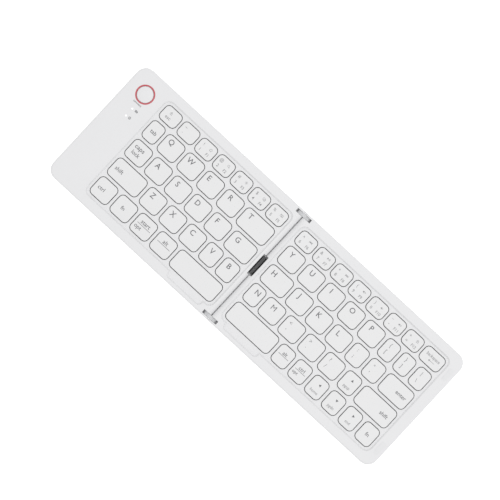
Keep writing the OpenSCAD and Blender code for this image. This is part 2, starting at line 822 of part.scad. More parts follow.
// Domed push button with a flange under the deck and a plunger over the switch
module connect_button() {
    dome_h = 0.2;
    proud = 0.1;
    foot_t = 0.6;
    foot_top = lid_z - flange_clear;
    plunger_z = board_top + switch_h + plunger_gap;
    sphere_r = (button_r * button_r + dome_h * dome_h) / (2 * dome_h);
    color([0.93, 0.93, 0.93]) translate([button_at[0], button_at[1], 0]) {
        intersection() {
            translate([0, 0, foot_top - flange_clear]) cylinder(r = button_r, h = top_t + 1);
            translate([0, 0, rim_z + proud - sphere_r]) sphere(r = sphere_r, $fn = 96);
        }
        translate([0, 0, foot_top - foot_t]) cylinder(r = button_r + flange_w, h = foot_t);
        translate([0, 0, plunger_z]) cylinder(r = plunger_r, h = foot_top - foot_t / 2 - plunger_z);
    }
}

module left_feet() { color([0.75, 0.75, 0.75]) feet("left"); }
module right_feet() { color([0.75, 0.75, 0.75]) feet("right"); }
module left_screws() { color([0.4, 0.4, 0.42]) screws("left"); }
module right_screws() { color([0.4, 0.4, 0.42]) screws("right"); }
module rear_hinge_link() { color([0.75, 0.76, 0.78]) hinge_link(); }
module front_hinge_link() { color([0.75, 0.76, 0.78]) mirror([0, 1, 0]) hinge_link(); }
module hinge_pins() { color([0.5, 0.5, 0.52]) hinge_pin_set(); }
module spine_bar() { color([0.75, 0.76, 0.78]) spine(); }
module ribbon_cable() { color([0.2, 0.2, 0.2]) ribbon(); }

module closing_pads() {
    color([0.85, 0.85, 0.85]) front_and_rear() translate([half_len - pad_inset, pad_y, 0])
        slab(pad_w, pad_l, pad_r, rim_z - pad_recess_t, rim_z + pad_proud);
}

cap_color = [0.95, 0.95, 0.95];

left_bottom_case();
left_top_deck();
left_key_plate();
left_membrane();
left_dome_sheet();
battery();
circuit_board();
board_parts();
charging_port();
status_lights();
connect_ring();
connect_button();
left_feet();
left_screws();
rear_hinge_link();
front_hinge_link();
hinge_pins();
spine_bar();
ribbon_cable();
right_bottom_case();
right_top_deck();
right_key_plate();
right_membrane();
right_dome_sheet();
closing_pads();
right_feet();
right_screws();
for (name = SINGLE_LEFT)
    color(cap_color) keys_named(left_keys, name);
for (name = SINGLE_RIGHT)
    color(cap_color) keys_named(right_keys, name);
color(cap_color) keys_named(left_keys, "space");  // left_space_bar
color(cap_color) keys_named(right_keys, "space");  // right_space_bar
color(cap_color) keys_named(left_keys, "numbers");  // left_number_keys
color(cap_color) keys_named(right_keys, "numbers");  // right_number_keys
color(cap_color) keys_named(left_keys, "side");  // left_side_keys
color(cap_color) keys_named(right_keys, "side");  // right_side_keys
color(cap_color) keys_named(right_keys, "marks");  // right_mark_keys
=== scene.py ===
# %% [markdown]
# # A white folding keyboard
# Two thin plastic shells lie side by side on a table and fold face to face on a link hinge.
# The sizes and the moving bodies come from a imported CAD frame. This script adds what the frame
# lacks: round-edged key caps, rubber domes, a ribbon cable in two halves, printed signs, finishes,
# light and the camera.
# Everything is in metres, and each piece has its place in its mesh, not in its object. The
# frame's own plain finishes step aside, so that the ones made here can have their names.

# %% Load the frame
import math

import bpy
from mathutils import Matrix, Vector


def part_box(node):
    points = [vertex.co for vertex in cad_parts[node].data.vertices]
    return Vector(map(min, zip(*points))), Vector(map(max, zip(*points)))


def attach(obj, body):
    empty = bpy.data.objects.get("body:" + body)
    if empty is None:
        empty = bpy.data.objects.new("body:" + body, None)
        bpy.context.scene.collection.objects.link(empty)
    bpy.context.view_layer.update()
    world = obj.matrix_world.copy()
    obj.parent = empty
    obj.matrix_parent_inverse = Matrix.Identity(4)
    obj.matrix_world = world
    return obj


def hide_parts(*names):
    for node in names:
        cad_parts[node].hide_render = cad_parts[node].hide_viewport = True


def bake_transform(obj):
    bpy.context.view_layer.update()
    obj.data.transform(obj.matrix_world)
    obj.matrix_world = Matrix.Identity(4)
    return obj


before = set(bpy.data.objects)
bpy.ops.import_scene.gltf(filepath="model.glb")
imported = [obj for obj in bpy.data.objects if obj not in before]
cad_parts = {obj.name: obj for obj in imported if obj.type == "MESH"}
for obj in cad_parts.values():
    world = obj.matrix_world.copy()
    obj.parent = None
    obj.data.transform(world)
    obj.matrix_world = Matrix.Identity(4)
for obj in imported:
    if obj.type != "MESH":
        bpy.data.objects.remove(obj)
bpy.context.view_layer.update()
mm = 0.001
for plain_finish in list(bpy.data.materials):
    plain_finish.name = "frame_" + plain_finish.name

# %% [markdown]
# ## Small helpers
# A mesh can be made from lists of corners and faces. Most pieces here are gathered in such
# lists first, because printed signs come from dozens of small outlines that end up in one mesh.


# %% Mesh helpers
def mesh_piece(name, corners, faces, material):
    """A piece made of listed corners and faces, with its place in its mesh."""
    mesh = bpy.data.meshes.new(name)
    mesh.from_pydata([tuple(c) for c in corners], [], [tuple(f) for f in faces])
    mesh.update()
    piece = bpy.data.objects.new(name, mesh)
    bpy.context.scene.collection.objects.link(piece)
    piece.data.materials.append(material)
    return piece


def plain_mesh(piece):
    """Turns what a piece's modifiers make into its own mesh, less the empty slot of joined parts."""
    bpy.context.view_layer.update()
    shaped = piece.evaluated_get(bpy.context.evaluated_depsgraph_get())
    mesh = bpy.data.meshes.new_from_object(shaped)
    if mesh.materials[0] is None:
        mesh.materials.pop(index=0)
    piece.modifiers.clear()
    piece.data = mesh
    return piece


def paint(material, *nodes):
    """Gives CAD nodes a finish."""
    for node in nodes:
        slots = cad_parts[node].data.materials
        slots.clear()
        slots.append(material)


def smooth_by_angle(piece, degrees=30):
    """Shades a piece smoothly, but keeps the edges that are sharper than an angle."""
    mesh = piece.data
    mesh.shade_smooth()
    mesh.set_sharp_from_angle(angle=math.radians(degrees))
    return piece


# %% [markdown]
# ## Camera
# The photograph looks straight down with almost no perspective, and the keyboard lies turned
# by 42.8 degrees. A long lens from far above gives the same view. The width of the picture at
# the height of the key tops is what sets the lens.

# %% Camera
picture_turn = math.radians(42.8)
picture_width = 332 * mm
camera_height = 2.6
picture_right = Vector((math.cos(picture_turn), math.sin(picture_turn), 0))
picture_up = Vector((-math.sin(picture_turn), math.cos(picture_turn), 0))
aim = picture_right * (-4.6 * mm) + picture_up * (10.8 * mm)
lens = bpy.data.cameras.new("overhead")
lens.sensor_width = 36
lens.lens = 36 * (camera_height - 7 * mm) / picture_width
camera = bpy.data.objects.new("overhead", lens)
camera.location = (aim.x, aim.y, camera_height)
camera.rotation_euler = (0, 0, picture_turn)
bpy.context.scene.collection.objects.link(camera)
bpy.context.scene.camera = camera
print("lens:", round(lens.lens, 1), "mm")

# %% [markdown]
# ## Shader groups
# Moulded plastic is never quite flat: the tool that shapes it leaves a fine grain, and the tone
# and gloss change a little over a hand's width. One node group holds that effect, with its
# sizes as inputs, and every plastic or rubber finish uses it with its own values. A second
# group makes the long fine streaks of drawn or rolled metal.


# %% Node helpers
def new_group(name, inputs, outputs):
    """An empty shader group with named float, colour or vector sockets."""
    group = bpy.data.node_groups.new(name, "ShaderNodeTree")
    for label, kind, value in inputs:
        socket = group.interface.new_socket(label, in_out="INPUT", socket_type=kind)
        socket.default_value = value
    for label, kind in outputs:
        group.interface.new_socket(label, in_out="OUTPUT", socket_type=kind)
    return group, group.nodes.new("NodeGroupInput"), group.nodes.new("NodeGroupOutput")


def feed(tree, socket, value):
    """Sets a socket to a plain number, or links another node's output to it."""
    if isinstance(value, (int, float)):
        socket.default_value = value
    else:
        tree.links.new(value, socket)


def add_math(tree, kind, a, b):
    """A maths node that is fed by sockets or by plain numbers."""
    node = tree.nodes.new("ShaderNodeMath")
    node.operation = kind
    for socket, value in zip(node.inputs, (a, b)):
        feed(tree, socket, value)
    return node.outputs[0]


def add_noise(tree, place, scale, detail=2.0):
    """Noise from 0 to 1 at a scale, which is a socket or a number of ripples per metre."""
    node = tree.nodes.new("ShaderNodeTexNoise")
    node.inputs["Detail"].default_value = detail
    tree.links.new(place, node.inputs["Vector"])
    feed(tree, node.inputs["Scale"], scale)
    return node.outputs[0]


def add_wobble(tree, noise, amount):
    """Noise from 0 to 1, turned into a change of some size about zero."""
    return add_math(tree, "MULTIPLY", add_math(tree, "SUBTRACT", noise, 0.5), amount)


def add_tint(tree, colour, shift):
    """A colour made lighter or darker by a socket that is near 1."""
    node = tree.nodes.new("ShaderNodeVectorMath")
    node.operation = "SCALE"
    tree.links.new(colour, node.inputs[0])
    tree.links.new(shift, node.inputs["Scale"])
    return node.outputs[0]


# %% Grain of moulded plastic and rubber
F, C = "NodeSocketFloat", "NodeSocketColor"
moulded_grain, grain_in, grain_out = new_group(
    "moulded_grain",
    [("Colour", C, (0.8, 0.8, 0.8, 1)), ("Roughness", F, 0.5), ("Grains per metre", F, 3000.0),
     ("Tone change", F, 0.03), ("Gloss change", F, 0.08)],
    [("Colour", C), ("Roughness", F), ("Height", F)],
)
place = moulded_grain.nodes.new("ShaderNodeTexCoord").outputs["Object"]
fine = add_noise(moulded_grain, place, grain_in.outputs["Grains per metre"])
patches = add_noise(moulded_grain, place, 38.0, 3.0)
touches = add_noise(moulded_grain, place, 140.0, 4.0)
tone = add_wobble(moulded_grain, patches, grain_in.outputs["Tone change"])
speckle = add_wobble(moulded_grain, fine, 0.012)
shade = add_math(moulded_grain, "ADD", add_math(moulded_grain, "ADD", tone, speckle), 1.0)
gloss = add_wobble(moulded_grain, touches, grain_in.outputs["Gloss change"])
rough = add_math(moulded_grain, "ADD", grain_in.outputs["Roughness"], gloss)
link = moulded_grain.links.new
link(add_tint(moulded_grain, grain_in.outputs["Colour"], shade), grain_out.inputs["Colour"])
link(rough, grain_out.inputs["Roughness"])
link(fine, grain_out.inputs["Height"])
print("group:", moulded_grain.name, len(moulded_grain.nodes), "nodes")

# %% Streaks of rolled and drawn metal
metal_streaks, streak_in, streak_out = new_group(
    "metal_streaks",
    [("Colour", C, (0.6, 0.6, 0.6, 1)), ("Roughness", F, 0.35), ("Streaks per metre", F, 4000.0),
     ("Stretch", F, 0.05), ("Tone change", F, 0.1)],
    [("Colour", C), ("Roughness", F), ("Height", F)],
)
place = metal_streaks.nodes.new("ShaderNodeTexCoord").outputs["Object"]
squeeze = metal_streaks.nodes.new("ShaderNodeCombineXYZ")
squeeze.inputs[0].default_value = 1.0
squeeze.inputs[2].default_value = 1.0
metal_streaks.links.new(streak_in.outputs["Stretch"], squeeze.inputs[1])
stretched = metal_streaks.nodes.new("ShaderNodeVectorMath")
stretched.operation = "MULTIPLY"
metal_streaks.links.new(place, stretched.inputs[0])
metal_streaks.links.new(squeeze.outputs[0], stretched.inputs[1])
streak = add_noise(metal_streaks, stretched.outputs[0], streak_in.outputs["Streaks per metre"], 3.0)
tone = add_wobble(metal_streaks, streak, streak_in.outputs["Tone change"])
shade = add_math(metal_streaks, "ADD", tone, 1.0)
gloss = add_wobble(metal_streaks, streak, 0.2)
rough = add_math(metal_streaks, "ADD", gloss, streak_in.outputs["Roughness"])
link = metal_streaks.links.new
link(add_tint(metal_streaks, streak_in.outputs["Colour"], shade), streak_out.inputs["Colour"])
link(rough, streak_out.inputs["Roughness"])
link(streak, streak_out.inputs["Height"])
print("group:", metal_streaks.name, len(metal_streaks.nodes), "nodes")

# %% [markdown]
# ## Finishes
# Each finish is a Principled surface fed by one of the two groups. What is the same all over
# a surface, such as how metallic it is, is set on the shader itself. The white plastics differ
# only a little: the deck and the caps are a neutral white, and the covers are a touch greyer.


# %% Finish builder
def finish(name, group, values, bump_mm, **plain):
    """A Principled finish with one of the groups for its colour, roughness and bump."""
    material = bpy.data.materials.new(name)
    material.use_nodes = True
    tree = material.node_tree
    shader = tree.nodes["Principled BSDF"]
    effect = tree.nodes.new("ShaderNodeGroup")
    effect.node_tree = group
    for label, value in values.items():
        effect.inputs[label].default_value = value
    bump = tree.nodes.new("ShaderNodeBump")
    bump.inputs["Strength"].default_value = 1.0
    bump.inputs["Distance"].default_value = bump_mm * mm
    tree.links.new(effect.outputs["Height"], bump.inputs["Height"])
    tree.links.new(effect.outputs["Colour"], shader.inputs["Base Color"])
    tree.links.new(effect.outputs["Roughness"], shader.inputs["Roughness"])
    tree.links.new(bump.outputs["Normal"], shader.inputs["Normal"])
    for label, value in plain.items():
        shader.inputs[label.replace("_", " ")].default_value = value
    material.diffuse_color = values["Colour"]
    return material


def plastic(name, colour, roughness=0.45, grains=3200.0, bump_mm=0.006, tone=0.03, gloss=0.08, **plain):
    return finish(name, moulded_grain, {
        "Colour": (*colour, 1), "Roughness": roughness, "Grains per metre": grains,
        "Tone change": tone, "Gloss change": gloss}, bump_mm, **plain)


def metal(name, colour, roughness=0.35, streaks=4000.0, stretch=0.05, tone=0.12, bump_mm=0.003):
    return finish(name, metal_streaks, {
        "Colour": (*colour, 1), "Roughness": roughness, "Streaks per metre": streaks,
        "Stretch": stretch, "Tone change": tone}, bump_mm, Metallic=1.0)


# %% Finishes
deck_white = plastic("deck_white", (0.80, 0.80, 0.81), 0.46)
shell_white = plastic("shell_white", (0.77, 0.77, 0.785), 0.5)
keycap_white = plastic("keycap_white", (0.80, 0.80, 0.805), 0.42, 4200.0, 0.004)
# The flange under each cap is near black as painted shade, so that the narrow gap round each cap reads
# as a dark shadow line.
flange_dark = plastic("flange_dark", (0.05, 0.05, 0.052), 0.6, 3000.0, 0.004, tone=0.1)
button_white = plastic("button_white", (0.80, 0.80, 0.81), 0.42, 3000.0, 0.002)
ring_red = plastic("ring_red", (0.55, 0.08, 0.1), 0.3, 1800.0, 0.002, tone=0.06, Coat_Weight=0.4)
light_pipe = plastic("light_pipe", (0.93, 0.94, 0.95), 0.2, 2500.0, 0.001, Emission_Color=(1, 1, 1, 1),
                     Emission_Strength=0.25)
print_grey = plastic("print_grey", (0.15, 0.15, 0.16), 0.55, 6000.0, 0.001, tone=0.1)
print_light = plastic("print_light", (0.3, 0.3, 0.31), 0.55, 6000.0, 0.001, tone=0.1)
foot_rubber = plastic("foot_rubber", (0.46, 0.46, 0.47), 0.8, 2600.0, 0.012, tone=0.08)
pad_rubber = plastic("pad_rubber", (0.79, 0.79, 0.80), 0.6, 2600.0, 0.01, tone=0.05)
spine_grey = plastic("spine_grey", (0.80, 0.80, 0.81), 0.5, 2600.0, 0.008, tone=0.1)
ribbon_black = plastic("ribbon_black", (0.012, 0.012, 0.013), 0.5, 1200.0, 0.002, tone=0.2,
                       Specular_IOR_Level=0.2)
sleeve_grey = plastic("sleeve_grey", (0.16, 0.16, 0.165), 0.6, 3000.0, 0.008, tone=0.15)
contact_sheet = plastic("contact_sheet", (0.2, 0.34, 0.24), 0.3, 900.0, 0.001, tone=0.15)
dome_rubber = plastic("dome_rubber", (0.6, 0.6, 0.57), 0.6, 2000.0, 0.006, Subsurface_Weight=0.3)
board_green = plastic("board_green", (0.02, 0.11, 0.05), 0.35, 1600.0, 0.004, tone=0.3, Coat_Weight=0.5)
dark_parts = plastic("dark_parts", (0.018, 0.018, 0.02), 0.45, 2200.0, 0.006, tone=0.2)
battery_foil = metal("battery_foil", (0.62, 0.63, 0.66), 0.4, 900.0, 0.6, 0.1, 0.02)
link_grey = plastic("link_grey", (0.66, 0.665, 0.675), 0.5, 4200.0, 0.008, tone=0.06)
pin_steel = metal("pin_steel", (0.5, 0.5, 0.52), 0.3)
screw_steel = metal("screw_steel", (0.42, 0.42, 0.44), 0.36, 6000.0, 1.0)
plate_metal = metal("plate_metal", (0.55, 0.56, 0.57), 0.42, 2500.0, 0.03)
port_metal = metal("port_metal", (0.56, 0.57, 0.59), 0.3, 5000.0, 0.1)
contact_gold = metal("contact_gold", (0.83, 0.6, 0.24), 0.25, 5000.0, 0.3)
print("finishes:", len(bpy.data.materials))

# %% [markdown]
# ## Shells, layers and fittings
# The decks, the covers and the parts inside are moulded, pressed or turned, and the frame
# already has their shapes. They keep the frame's meshes and only get a finish.

# %% Finishes on the frame's parts
paint(deck_white, "left_top_deck", "right_top_deck")
paint(shell_white, "left_bottom_case", "right_bottom_case")
paint(plate_metal, "left_key_plate", "right_key_plate")
paint(contact_sheet, "left_membrane", "right_membrane")
paint(battery_foil, "battery")
paint(board_green, "circuit_board")
paint(dark_parts, "board_parts")
paint(port_metal, "charging_port")
paint(light_pipe, "status_lights")
paint(ring_red, "connect_ring")
paint(button_white, "connect_button")
paint(foot_rubber, "left_feet", "right_feet")
paint(screw_steel, "left_screws", "right_screws")
paint(link_grey, "rear_hinge_link", "front_hinge_link")
paint(pin_steel, "hinge_pins")
paint(spine_grey, "spine_bar")
paint(pad_rubber, "closing_pads")

# %% [markdown]
# ## Where each key cap lies
# A letter key is a node of its own in the frame, so its box gives its place. The other keys
# share a node, such as all the number keys of one half. Their node's mesh falls apart into
# islands, one for each cap, and the islands are read row by row from the left.

# %% Key caps in the frame
flange_out = 0.85 * mm


def cap_boxes(node):
    """(left, front, right, rear) of each cap in a node, row by row from the left."""
    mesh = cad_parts[node].data
    spot = {}
    owner = []
    for v in mesh.vertices:
        key = (round(v.co.x, 6), round(v.co.y, 6), round(v.co.z, 6))
        owner.append(spot.setdefault(key, len(spot)))
    parent = list(range(len(spot)))

    def root(i):
        while parent[i] != i:
            parent[i] = parent[parent[i]]
            i = parent[i]
        return i

    for face in mesh.polygons:
        corners = [root(owner[v]) for v in face.vertices]
        for corner in corners[1:]:
            parent[root(corner)] = root(corners[0])
    islands = {}
    for (x, y, z), i in spot.items():
        islands.setdefault(root(i), []).append((x, y))
    boxes = []
    for points in islands.values():
        xs, ys = zip(*points)
        boxes.append((min(xs) + flange_out, min(ys) + flange_out,
                      max(xs) - flange_out, max(ys) - flange_out))
    return sorted(boxes, key=lambda b: (-round(b[3], 3), b[0]))


key_nodes = [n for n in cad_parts
             if n.startswith("key_") or n.endswith(("_space_bar", "_keys"))]
caps = {node: cap_boxes(node) for node in key_nodes}
key_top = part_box("key_q")[1].z
print("key nodes:", len(key_nodes), "caps:", sum(len(boxes) for boxes in caps.values()))

# %% [markdown]
# ## One geometry tree for all key caps
# All caps share one form: straight sides, round corners, a soft edge round a flat top, and
# under the deck a flange that holds the cap in its opening. Only width and depth differ. The
# tree sweeps a side profile round one small seed cap, sets the seed on each point of a mesh,
# and then pulls its corners apart by the width and depth stored on that point. So the corner
# and edge radii stay the same on every cap, which plain scaling would spoil.

# %% Geometry tree helpers
def new_tree(name, inputs):
    """A geometry tree from mesh to mesh, with more named inputs."""
    tree = bpy.data.node_groups.new(name, "GeometryNodeTree")
    mesh_socket = ("Geometry", "NodeSocketGeometry")
    for label, kind in (mesh_socket, *inputs):
        tree.interface.new_socket(label, in_out="INPUT", socket_type=kind)
    tree.interface.new_socket(mesh_socket[0], in_out="OUTPUT", socket_type=mesh_socket[1])
    return tree, tree.nodes.new("NodeGroupInput"), tree.nodes.new("NodeGroupOutput")


def tree_node(tree, kind, settings=None, values=None, **links):
    """A node of a geometry tree: its settings, plain values by index, and links by input name."""
    node = tree.nodes.new(kind)
    for label, value in (settings or {}).items():
        setattr(node, label, value)
    for place, value in (values or {}).items():
        node.inputs[place].default_value = value
    for label, source in links.items():
        tree.links.new(source, node.inputs[label.replace("_", " ")])
    return node


def input_names(tree):
    """A modifier's input is set by the socket's identifier, so this lists them by name."""
    return {item.name: item.identifier for item in tree.interface.items_tree
            if item.item_type == "SOCKET" and item.in_out == "INPUT"}


# %% The key cap tree
cap_sizes = {
    "Corner radius": 2.9 * mm, "Edge radius": 0.35 * mm, "Cap height": 2.55 * mm,
    "Flange width": flange_out, "Flange thickness": 0.5 * mm, "Flat rim": 0.5 * mm,
}
cap_tree, tree_in, tree_out = new_tree("cap_on_each_point", [
    *[(label, "NodeSocketFloat") for label in cap_sizes],
    ("Finish", "NodeSocketMaterial"), ("Flange finish", "NodeSocketMaterial")])
seed_middle = 0.1 * mm


def cap_node(kind, settings=None, values=None, **links):
    return tree_node(cap_tree, kind, settings, values, **links)


def cap_maths(kind, a, b=0.0):
    return add_math(cap_tree, kind, a, b)


def cap_point(x=0.0, y=0.0, z=0.0):
    """A vector from three sockets or numbers."""
    node = cap_node("ShaderNodeCombineXYZ")
    for socket, value in zip(node.inputs, (x, y, z)):
        feed(cap_tree, socket, value)
    return node.outputs[0]


def profile_line(start, end):
    return cap_node("GeometryNodeCurvePrimitiveLine", Start=start, End=end).outputs[0]


# The profile runs from the flat top outwards and down. Its X points outwards, its Y down
corner_r, edge_r, high, out_w, out_t, flat_w = [tree_in.outputs[label] for label in cap_sizes]
side_low = cap_maths("SUBTRACT", high, out_t)
inner = cap_maths("MULTIPLY", cap_maths("ADD", edge_r, flat_w), -1.0)
edge_in = cap_maths("MULTIPLY", edge_r, -1.0)
hold = 0.12 * mm  # a narrow band below the edge keeps the shading of the side flat
hold_low = cap_maths("ADD", edge_r, hold)
lines = [
    profile_line(cap_point(inner), cap_point(edge_in)),
    profile_line(cap_point(y=edge_r), cap_point(y=hold_low)),
    profile_line(cap_point(y=hold_low), cap_point(y=side_low)),
    profile_line(cap_point(y=side_low), cap_point(out_w, side_low)),
    profile_line(cap_point(out_w, side_low), cap_point(out_w, high)),
]
edge_arc = cap_node("GeometryNodeCurveArc", {"mode": "RADIUS"}, {"Resolution": 6}, Radius=edge_r)
edge_arc.inputs["Start Angle"].default_value = -math.pi / 2
edge_arc.inputs["Sweep Angle"].default_value = math.pi / 2
arc_place = cap_node("GeometryNodeTransform", Geometry=edge_arc.outputs[0],
                     Translation=cap_point(edge_in, edge_r))
profile = cap_node("GeometryNodeJoinGeometry")
for part in [arc_place.outputs[0], *lines]:
    cap_tree.links.new(part, profile.inputs[0])

# The path is a small square with the cap's corner radius
side = cap_maths("ADD", cap_maths("MULTIPLY", corner_r, 2.0), 2 * seed_middle)
square = cap_node("GeometryNodeCurvePrimitiveQuadrilateral", Width=side, Height=side)
corner_cuts = {"Count": 8, "Limit Radius": True}
round_square = cap_node("GeometryNodeFilletCurve", {"mode": "POLY"}, corner_cuts,
                        Curve=square.outputs[0], Radius=corner_r)
level = cap_node("GeometryNodeSetCurveNormal", {"mode": "Z_UP"}, Curve=round_square.outputs[0])
swept = cap_node("GeometryNodeCurveToMesh", Curve=level.outputs[0], Profile_Curve=profile.outputs[0])
weld = {"Distance": 0.001 * mm}
welded = cap_node("GeometryNodeMergeByDistance", None, weld, Geometry=swept.outputs[0])


# The top and the underside are filled from the two open rims of the swept skin
def filled_rim(above):
    """A face in the upper rim, or in the lower one and turned to face down."""
    edges = cap_node("GeometryNodeInputMeshEdgeNeighbors").outputs[0]
    open_edge = cap_node("FunctionNodeCompare", {"data_type": "INT", "operation": "EQUAL"})
    cap_tree.links.new(edges, open_edge.inputs[2])
    open_edge.inputs[3].default_value = 1
    position = cap_node("GeometryNodeInputPosition").outputs[0]
    height = cap_node("ShaderNodeSeparateXYZ", Vector=position).outputs[2]
    halfway = cap_maths("MULTIPLY", high, -0.5)
    test = "GREATER_THAN" if above else "LESS_THAN"
    this_side = cap_node("FunctionNodeCompare", {"data_type": "FLOAT", "operation": test})
    cap_tree.links.new(height, this_side.inputs[0])
    cap_tree.links.new(halfway, this_side.inputs[1])
    both = cap_node("FunctionNodeBooleanMath", {"operation": "AND"})
    cap_tree.links.new(open_edge.outputs[0], both.inputs[0])
    cap_tree.links.new(this_side.outputs[0], both.inputs[1])
    rim = cap_node("GeometryNodeMeshToCurve", Mesh=welded.outputs[0], Selection=both.outputs[0])
    fill = cap_node("GeometryNodeFillCurve", {"mode": "NGONS"}, Curve=rim.outputs[0])
    if above:
        return fill.outputs[0]
    drop = cap_point(z=cap_maths("MULTIPLY", high, -1.0))
    placed = cap_node("GeometryNodeTransform", Geometry=fill.outputs[0], Translation=drop)
    return cap_node("GeometryNodeFlipFaces", Mesh=placed.outputs[0]).outputs[0]


skin = cap_node("GeometryNodeJoinGeometry")
for part in (filled_rim(above=False), filled_rim(above=True), welded.outputs[0]):
    cap_tree.links.new(part, skin.inputs[0])
closed = cap_node("GeometryNodeMergeByDistance", None, weld, Geometry=skin.outputs[0])

# Each corner of the seed remembers which way it has to move
seed_place = cap_node("GeometryNodeInputPosition").outputs[0]
keep = cap_node("GeometryNodeCaptureAttribute", Geometry=closed.outputs[0])
keep.capture_items.new("VECTOR", "seed place")
cap_tree.links.new(seed_place, keep.inputs[1])
on_points = cap_node("GeometryNodeInstanceOnPoints", Points=tree_in.outputs["Geometry"],
                     Instance=keep.outputs[0])
real = cap_node("GeometryNodeRealizeInstances", Geometry=on_points.outputs[0])
apart = cap_node("ShaderNodeSeparateXYZ", Vector=keep.outputs[1])
least = cap_maths("ADD", corner_r, seed_middle)


def stretch(attribute, axis):
    """How far a corner moves: half the cap's size, less the seed's own, on the corner's side."""
    size = cap_node("GeometryNodeInputNamedAttribute", {"data_type": "FLOAT"}, {"Name": attribute})
    reach = cap_maths("SUBTRACT", cap_maths("MULTIPLY", size.outputs[0], 0.5), least)
    return cap_maths("MULTIPLY", cap_maths("SIGN", apart.outputs[axis]), reach)


moved = cap_node("GeometryNodeSetPosition", Geometry=real.outputs[0],
                 Offset=cap_point(stretch("cap_width", 0), stretch("cap_depth", 1)))
soft = cap_node("GeometryNodeSetShadeSmooth", Geometry=moved.outputs[0])
white = cap_node("GeometryNodeSetMaterial", Geometry=soft.outputs[0],
                 Material=tree_in.outputs["Finish"])
# The flange and a thin band of side just above it get the near-black finish: painted shade for the gap
# round each cap.
flange_shade_faces = cap_node("FunctionNodeCompare", {"data_type": "FLOAT", "operation": "LESS_THAN"})
cap_tree.links.new(apart.outputs[2], flange_shade_faces.inputs[0])
cap_tree.links.new(cap_maths("ADD", cap_maths("MULTIPLY", side_low, -1.0), hold), flange_shade_faces.inputs[1])
finished = cap_node("GeometryNodeSetMaterial", Geometry=white.outputs[0],
                    Selection=flange_shade_faces.outputs[0], Material=tree_in.outputs["Flange finish"])
cap_tree.links.new(finished.outputs[0], tree_out.inputs[0])
cap_inputs = input_names(cap_tree)
print("cap tree:", len(cap_tree.nodes), "nodes")

# %% Key caps
for node, boxes in caps.items():
    middles = [((x0 + x1) / 2, (y0 + y1) / 2, key_top) for x0, y0, x1, y1 in boxes]
    piece = mesh_piece(node + "_cap", middles, [], keycap_white)
    width = piece.data.attributes.new("cap_width", "FLOAT", "POINT")
    depth = piece.data.attributes.new("cap_depth", "FLOAT", "POINT")
    for i, (x0, y0, x1, y1) in enumerate(boxes):
        width.data[i].value = x1 - x0
        depth.data[i].value = y1 - y0
    modifier = piece.modifiers.new("caps", "NODES")
    modifier.node_group = cap_tree
    for label, value in cap_sizes.items():
        modifier[cap_inputs[label]] = value
    modifier[cap_inputs["Finish"]] = keycap_white
    # The flange gets the near-black finish, painted shade in the gap round the cap.
    modifier[cap_inputs["Flange finish"]] = flange_dark
    smooth_by_angle(plain_mesh(piece), 50)
    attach(piece, node)
    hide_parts(node)

# %% [markdown]
# ## Rubber domes
# Under each cap a hollow rubber dome on a thin sheet pushes the key back up. The frame has a
# sheet and its domes in one rigid node, which a pressed cap would cut through. Here the sheet
# stays with its half, and the domes under the caps of one key node make one piece. A dome is a
# turned form, so its side view is spun once, and a small geometry tree sets that form on each
# point of a mesh.

# %% A tree that sets one form on each point
set_tree, set_in, set_out = new_tree("form_on_each_point", [
    ("Form", "NodeSocketObject"), ("Finish", "NodeSocketMaterial")])
form = tree_node(set_tree, "GeometryNodeObjectInfo", Object=set_in.outputs["Form"])
set_forms = tree_node(set_tree, "GeometryNodeInstanceOnPoints", Points=set_in.outputs["Geometry"],
                      Instance=form.outputs["Geometry"])
real_forms = tree_node(set_tree, "GeometryNodeRealizeInstances", Geometry=set_forms.outputs[0])
painted = tree_node(set_tree, "GeometryNodeSetMaterial", Geometry=real_forms.outputs[0],
                    Material=set_in.outputs["Finish"])
set_tree.links.new(painted.outputs[0], set_out.inputs[0])
set_inputs = input_names(set_tree)


def set_on_points(name, form, points, material):
    """One piece with a form set on each of the listed points."""
    piece = mesh_piece(name, points, [], material)
    modifier = piece.modifiers.new("forms", "NODES")
    modifier.node_group = set_tree
    modifier[set_inputs["Form"]] = form
    modifier[set_inputs["Finish"]] = material
    return smooth_by_angle(plain_mesh(piece), 40)


print("form tree:", len(set_tree.nodes), "nodes")


# %% A spun form and a round-cornered slab
def spun_form(name, side_view, material, steps=20):
    """A turned form from a side view of (radius, height) that starts and ends on the axis."""
    angles = [2 * math.pi * i / steps for i in range(steps)]
    turns = [(math.cos(a), math.sin(a)) for a in angles]
    corners = [(0, 0, side_view[0][1])]
    for radius, height in side_view[1:-1]:
        corners += [(radius * c, radius * s, height) for c, s in turns]
    corners.append((0, 0, side_view[-1][1]))
    following = [(i, (i + 1) % steps) for i in range(steps)]
    rings = len(side_view) - 2
    faces = [(0, 1 + i, 1 + j) for i, j in following]
    for a in range(1, 1 + (rings - 1) * steps, steps):
        faces += [(a + i, a + steps + i, a + steps + j, a + j) for i, j in following]
    a = 1 + (rings - 1) * steps
    faces += [(len(corners) - 1, a + j, a + i) for i, j in following]
    return mesh_piece(name, corners, faces, material)


def round_slab(name, low, high, radius, material, steps=6):
    """A flat slab between two corners, with round corners seen from above."""
    outline = []
    for turn, x, y in ((0, high.x - radius, high.y - radius), (90, low.x + radius, high.y - radius),
                       (180, low.x + radius, low.y + radius), (270, high.x - radius, low.y + radius)):
        for i in range(steps + 1):
            a = math.radians(turn + 90 * i / steps)
            outline.append((x + radius * math.cos(a), y + radius * math.sin(a)))
    count = len(outline)
    corners = [(x, y, z) for z in (low.z, high.z) for x, y in outline]
    faces = [(i, (i + 1) % count, count + (i + 1) % count, count + i) for i in range(count)]
    faces += [tuple(range(count))[::-1], tuple(range(count, 2 * count))]
    return mesh_piece(name, corners, faces, material)


